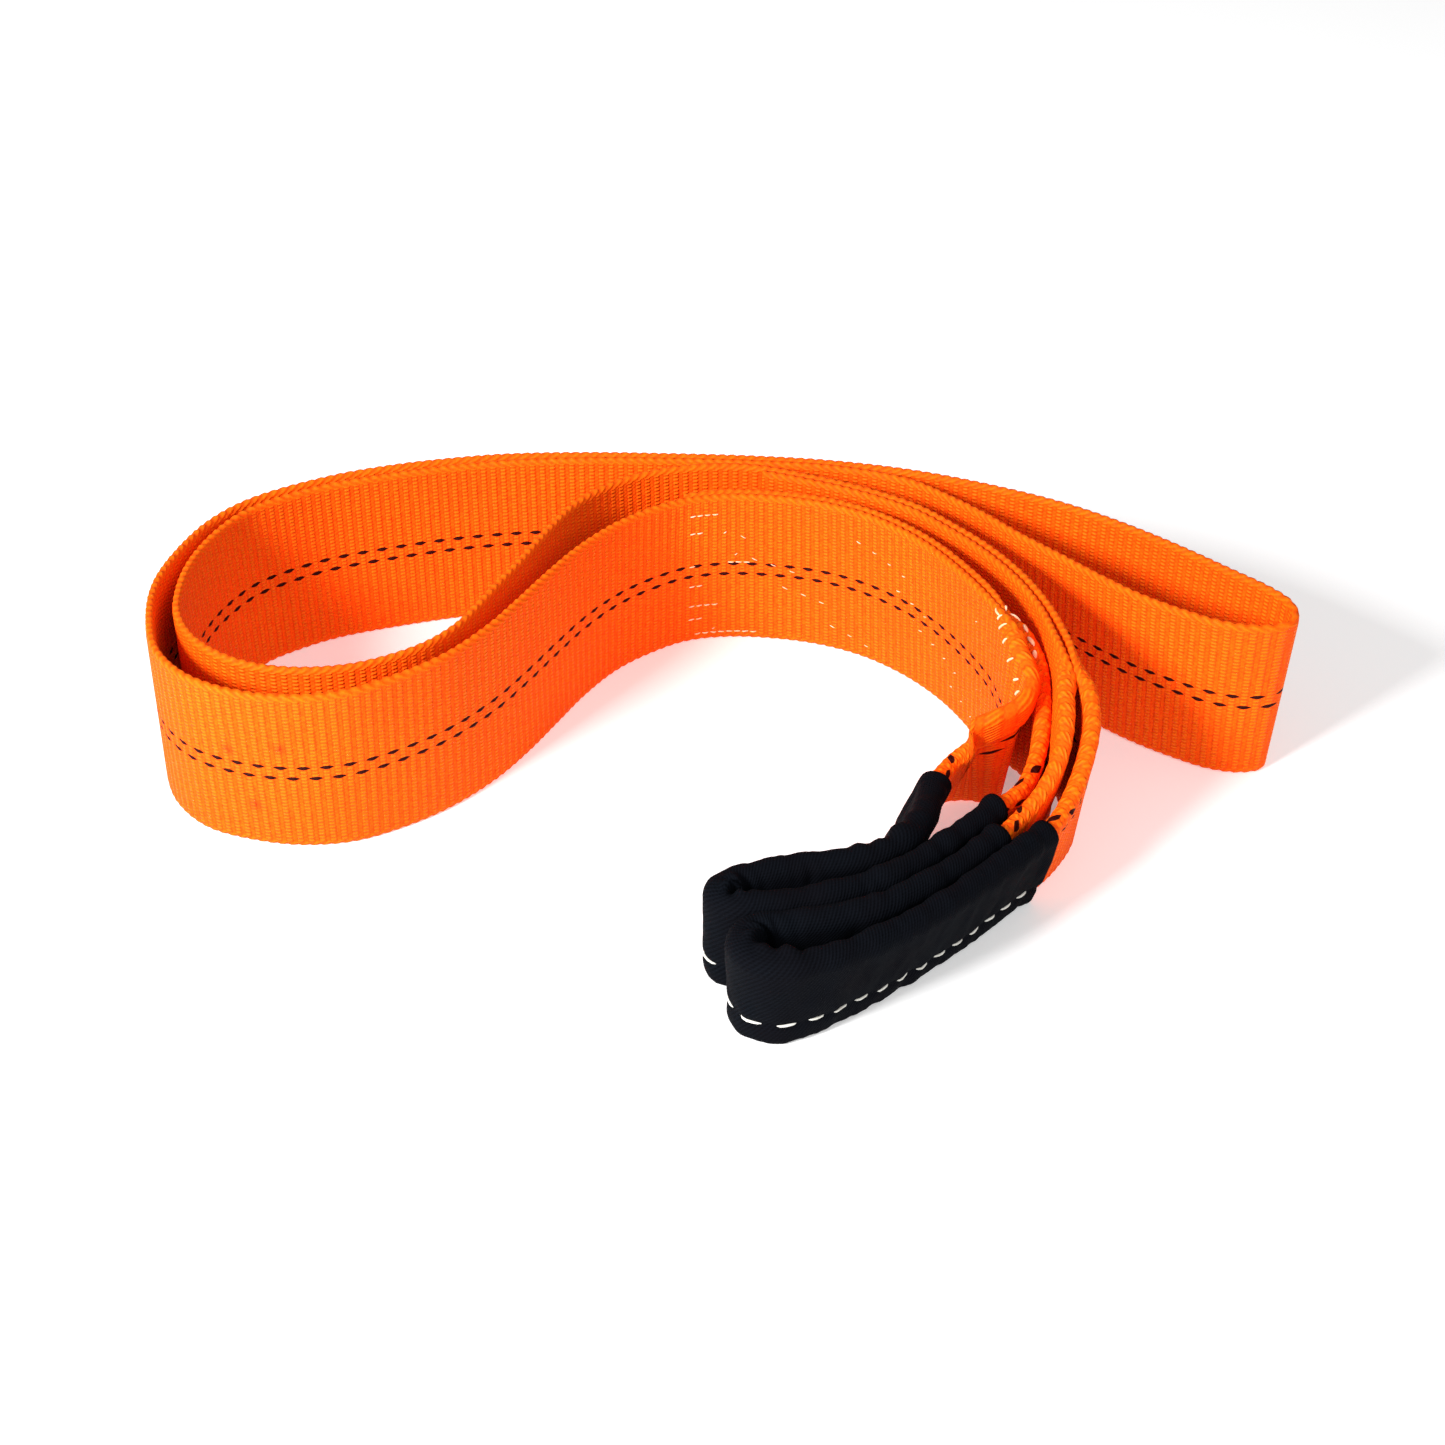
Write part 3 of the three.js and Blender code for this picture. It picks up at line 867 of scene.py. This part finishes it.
def ramp(tree, value, low, high, to_low=0.0, to_high=1.0):
    """The value carried from one range to another, and held at its ends."""
    ranges = {"Value": value, "From Min": low, "From Max": high, "To Min": to_low, "To Max": to_high}
    return add_node(tree, "ShaderNodeMapRange", ranges).outputs[0]


def mixed(tree, share, first, second):
    """A colour between two others."""
    node = add_node(tree, "ShaderNodeMix", data_type="RGBA")
    for socket, value in ((node.inputs[0], share), (node.inputs[6], first), (node.inputs[7], second)):
        if isinstance(value, bpy.types.NodeSocket):
            tree.links.new(value, socket)
        else:
            socket.default_value = value
    return node.outputs[2]


def new_group(name, inputs, outputs):
    """A shader node group with named number inputs and outputs, and its two end nodes."""
    group = bpy.data.node_groups.new(name, "ShaderNodeTree")
    for socket in inputs:
        kind = "NodeSocketVector" if socket == "Place" else "NodeSocketFloat"
        group.interface.new_socket(socket, in_out="INPUT", socket_type=kind)
    for socket in outputs:
        group.interface.new_socket(socket, in_out="OUTPUT", socket_type="NodeSocketFloat")
    return group, group.nodes.new("NodeGroupInput").outputs, group.nodes.new("NodeGroupOutput").inputs


def use_group(tree, group, **values):
    node = add_node(tree, "ShaderNodeGroup", node_tree=group)
    for name, value in values.items():
        if isinstance(value, bpy.types.NodeSocket):
            tree.links.new(value, node.inputs[name])
        else:
            node.inputs[name].default_value = value
    return node.outputs


def wave(tree, value, pitch, shift=0.0):
    """A wave from 0 to 1 with its crests one pitch apart."""
    turns = calc(tree, "MULTIPLY_ADD", value, 2 * math.pi / pitch, shift * 2 * math.pi)
    return calc(tree, "MULTIPLY_ADD", calc(tree, "COSINE", turns), 0.5, 0.5)


def make_rib_weave():
    """Stacked yarns on each cross rib, lower ones between them and a twisted cord at each edge, as height."""
    group, given, made = new_group("rib_weave", ("Along", "Across"), ("Height", "Crest"))
    crest = wave(group, given["Along"], PICK)
    stacked = calc(group, "MULTIPLY_ADD", wave(group, given["Across"], THREAD_PITCH), 0.6, 0.4)
    on_rib = calc(group, "MULTIPLY", ramp(group, crest, 0.0, 0.8), stacked)
    lower = calc(group, "MULTIPLY_ADD", wave(group, given["Across"], THREAD_PITCH, 0.5), 0.12, 0.34)
    between = calc(group, "MULTIPLY", ramp(group, crest, 0.6, 0.1), lower)
    face = calc(group, "MAXIMUM", on_rib, between)
    from_top = calc(group, "SUBTRACT", WEBBING_WIDTH, given["Across"])
    from_edge = calc(group, "MINIMUM", given["Across"], from_top)
    strand = wave(group, calc(group, "MULTIPLY_ADD", from_edge, 1.3, given["Along"]), PICK)
    twist = calc(group, "MULTIPLY_ADD", strand, 0.4, 0.35)
    edge = ramp(group, from_edge, SELVEDGE, 0.7 * SELVEDGE)
    height = add_node(group, "ShaderNodeMix", {0: edge, 2: face, 3: twist}).outputs[0]
    for socket, value in (("Height", height), ("Crest", crest)):
        group.links.new(value, made[socket])
    return group


def make_tracer():
    """A line of lens-shaped dashes along the webbing, as a mask."""
    group, given, made = new_group("tracer_line", ("Along", "Across", "Line", "Shift"), ("Mask",))
    turns = calc(group, "MULTIPLY_ADD", given["Along"], 1 / TRACER_PITCH, given["Shift"])
    offset = calc(group, "SUBTRACT", calc(group, "FRACT", turns), 0.5)
    share = calc(group, "MULTIPLY", offset, 2 * TRACER_PITCH / TRACER_LENGTH)
    half = calc(group, "MULTIPLY_ADD", calc(group, "MULTIPLY", share, share), -0.5, 0.5)
    away = calc(group, "ABSOLUTE", calc(group, "SUBTRACT", given["Across"], given["Line"]))
    inside = calc(group, "SUBTRACT", calc(group, "MULTIPLY", half, TRACER_THICKNESS), away)
    group.links.new(ramp(group, inside, -TRACER_SOFTNESS, TRACER_SOFTNESS), made["Mask"])
    return group


def make_mottle():
    """Uneven dye and wear, as slow clouds and as fine fibre flecks."""
    group, given, made = new_group("mottle", ("Place", "Cloud size", "Fleck size"), ("Clouds", "Flecks"))
    for name, size, detail in (("Clouds", "Cloud size", 3), ("Flecks", "Fleck size", 2)):
        scale = calc(group, "DIVIDE", 1.0, given[size])
        values = {"Vector": given["Place"], "Scale": scale, "Detail": detail}
        spots = add_node(group, "ShaderNodeTexNoise", values)
        group.links.new(ramp(group, spots.outputs[0], 0.3, 0.7), made[name])
    return group


def new_material(name):
    """A material with its own tree, its Principled shader and its two weave coordinates."""
    material = bpy.data.materials.new(name)
    material.use_nodes = True
    tree = material.node_tree
    shader = tree.nodes["Principled BSDF"]
    uv = add_node(tree, "ShaderNodeUVMap", uv_map="weave").outputs[0]
    parts = add_node(tree, "ShaderNodeSeparateXYZ", {0: uv}).outputs
    return material, tree, shader, uv, parts[0], parts[1]


def set_relief(tree, shader, height, distance, strength):
    bump = add_node(tree, "ShaderNodeBump", {"Height": height, "Distance": distance, "Strength": strength})
    tree.links.new(bump.outputs[0], shader.inputs["Normal"])


def webbing_material():
    """Orange polyester webbing with ribs, yarns and two dashed tracer lines, with painted highlights on the
    yarn tops and painted shade in the grooves.
    """
    material, tree, shader, uv, along, face = new_material("orange webbing")
    across = calc(tree, "MODULO", face, FACE_OFFSET)
    weave = use_group(tree, RIB_WEAVE, Along=along, Across=across)
    place = add_node(tree, "ShaderNodeTexCoord").outputs["Object"]
    mottle = use_group(tree, MOTTLE, Place=place, **{"Cloud size": 0.03, "Fleck size": 0.0016})
    # Painted light from the weave's height: painted highlights on the raised yarns and painted shade in the
    # grooves; the lighter fibre flecks are wear.
    lit = calc(tree, "MULTIPLY_ADD", weave["Height"], 1.1, -0.15)
    lit = calc(tree, "MULTIPLY_ADD", mottle["Flecks"], 0.35, lit)
    colour = mixed(tree, lit, WEBBING_GROOVE_SHADE, WEBBING_YARN_HIGHLIGHT)
    colour = mixed(tree, calc(tree, "MULTIPLY", mottle["Clouds"], 0.3), colour, WEBBING_BODY)
    for distance, width in STAINS:
        ends = {0: uv, 1: (distance, width, 0)}
        away = add_node(tree, "ShaderNodeVectorMath", ends, operation="DISTANCE").outputs[1]
        stain = calc(tree, "MULTIPLY", ramp(tree, away, 0, STAIN_REACH, 1, 0), mottle["Flecks"])
        colour = mixed(tree, stain, colour, STAIN_COLOUR)
    for side, shift in ((-0.5, 0.0), (0.5, 0.5)):
        line = WEBBING_WIDTH / 2 + side * TRACER_SPREAD
        mask = use_group(tree, TRACER, Along=along, Across=across, Line=line, Shift=shift)["Mask"]
        colour = mixed(tree, mask, colour, TRACER_COLOUR)
    tree.links.new(colour, shader.inputs["Base Color"])
    tree.links.new(ramp(tree, weave["Crest"], 0, 1, 0.8, 0.6), shader.inputs["Roughness"])
    shader.inputs["Specular IOR Level"].default_value = 0.08
    fibres = calc(tree, "MULTIPLY_ADD", mottle["Flecks"], 0.2, weave["Height"])
    set_relief(tree, shader, fibres, WEAVE_RELIEF, 1.0)
    return material


def sleeve_material():
    """Near-black cloth with a fine twill, with painted shade in the twill's grooves."""
    material, tree, shader, uv, along, around = new_material("black sleeve cloth")
    place = add_node(tree, "ShaderNodeTexCoord").outputs["Object"]
    mottle = use_group(tree, MOTTLE, Place=place, **{"Cloud size": 0.02, "Fleck size": 0.0009})
    diagonal = calc(tree, "MULTIPLY_ADD", around, 0.6, along)
    twill = wave(tree, diagonal, TWILL_PITCH)
    cross = wave(tree, around, TWILL_PITCH * 0.8)
    height = calc(tree, "MULTIPLY_ADD", twill, 0.7, calc(tree, "MULTIPLY", cross, 0.3))
    height = calc(tree, "MULTIPLY_ADD", mottle["Flecks"], 0.3, height)
    # Painted shade in the twill's grooves, set by the twill's height; the flecks are wear.
    colour = mixed(tree, height, SLEEVE_TWILL_SHADE, SLEEVE_FACE)
    colour = mixed(tree, calc(tree, "MULTIPLY", mottle["Clouds"], 0.5), colour, SLEEVE_TINT)
    tree.links.new(colour, shader.inputs["Base Color"])
    shader.inputs["Roughness"].default_value = 0.85
    shader.inputs["Specular IOR Level"].default_value = 0.03
    set_relief(tree, shader, height, 0.00025, 0.8)
    return material


def thread_material(name, pale, dull):
    """Sewing thread with the fine twist of its strands."""
    material = bpy.data.materials.new(name)
    material.use_nodes = True
    tree = material.node_tree
    shader = tree.nodes["Principled BSDF"]
    place = add_node(tree, "ShaderNodeTexCoord").outputs["Object"]
    mottle = use_group(tree, MOTTLE, Place=place, **{"Cloud size": 0.004, "Fleck size": 0.0003})
    tree.links.new(mixed(tree, mottle["Clouds"], dull, pale), shader.inputs["Base Color"])
    shader.inputs["Roughness"].default_value = 0.6
    set_relief(tree, shader, mottle["Flecks"], 0.0001, 0.5)
    return material


def floor_material():
    material = bpy.data.materials.new("pale floor")
    material.use_nodes = True
    shader = material.node_tree.nodes["Principled BSDF"]
    shader.inputs["Base Color"].default_value = (0.9, 0.9, 0.9, 1)
    shader.inputs["Emission Color"].default_value = (1, 1, 1, 1)
    shader.inputs["Emission Strength"].default_value = 0.3
    shader.inputs["Roughness"].default_value = 0.8
    shader.inputs["Specular IOR Level"].default_value = 0.1
    return material


def make_camera():
    """The photograph's view: from the front and 35 degrees above."""
    data = bpy.data.cameras.new("camera")
    data.sensor_width = SENSOR_WIDTH
    data.lens = FOCAL_PIXELS / PHOTO_WIDTH * SENSOR_WIDTH
    camera = bpy.data.objects.new("camera", data)
    camera.location = CAMERA_PLACE
    camera.rotation_euler = (math.pi / 2 - CAMERA_PITCH, 0, 0)
    bpy.context.scene.collection.objects.link(camera)
    bpy.context.scene.camera = camera


def make_light(name, place, size, power, colour=(1, 1, 1)):
    """A soft box that faces the strap."""
    data = bpy.data.lights.new(name, "AREA")
    data.size = size
    data.energy = power
    data.color = colour
    light = bpy.data.objects.new(name, data)
    light.location = place
    light.rotation_euler = (Vector((0, 0, 0.03)) - Vector(place)).to_track_quat("-Z", "Y").to_euler()
    bpy.context.scene.collection.objects.link(light)


def make_studio():
    """A pale floor under even white light."""
    bpy.ops.object.select_all(action="DESELECT")
    bpy.ops.mesh.primitive_plane_add(size=FLOOR_SIZE, location=(0, 0, 0))
    floor = bpy.context.active_object
    floor.name = "floor"
    floor.data.materials.append(floor_material())
    floor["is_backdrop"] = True
    world = bpy.data.worlds.new("studio")
    world.use_nodes = True
    world.node_tree.nodes["Background"].inputs["Color"].default_value = (1, 1, 1, 1)
    world.node_tree.nodes["Background"].inputs["Strength"].default_value = 0.4
    bpy.context.scene.world = world
    bpy.context.scene.view_settings.view_transform = "Standard"
    make_light("key light", (-1.2, -1.1, 1.0), 0.5, 60)
    make_light("fill light", (0.8, -1.2, 1.2), 1.0, 10)


RIB_WEAVE = make_rib_weave()
TRACER = make_tracer()
MOTTLE = make_mottle()
STITCH = stitch_shape()

make_camera()
webbing = make_webbing(webbing_material())
cloth = sleeve_material()
white_thread = thread_material("white thread", (0.85, 0.84, 0.78, 1), (0.6, 0.58, 0.52, 1))
first_sleeve = make_sleeve("first_sleeve", FIRST_SLEEVE_POINTS, FIRST_SEED, cloth)
second_sleeve = make_sleeve("second_sleeve", SECOND_SLEEVE_POINTS, SECOND_SEED, cloth)
first_stitches = sleeve_stitches("first_sleeve_stitching", FIRST_SLEEVE_POINTS, FIRST_SEED, white_thread)
second_stitches = sleeve_stitches("second_sleeve_stitching", SECOND_SLEEVE_POINTS, SECOND_SEED, white_thread)
pink_thread = thread_material("sewing thread", (1.0, 0.72, 0.5, 1), (1.0, 0.5, 0.25, 1))
splice_stitches = [*splice_rows(), *stray_stitches(), *zigzag_stitches()]
sewing = make_stitches("splice_stitching", splice_stitches, pink_thread)
make_studio()

for piece, slot in (
    (webbing, "webbing"),
    (first_sleeve, "sleeve_cloth"),
    (second_sleeve, "sleeve_cloth"),
    (first_stitches, "sleeve_cloth"),
    (second_stitches, "sleeve_cloth"),
    (sewing, "webbing"),
):
    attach(piece, "root")
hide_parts("strap_webbing")
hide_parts("eye_sleeve_first")
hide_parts("eye_sleeve_second")

[[list(corner) for corner in box] for box in (CAD_BOX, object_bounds())]
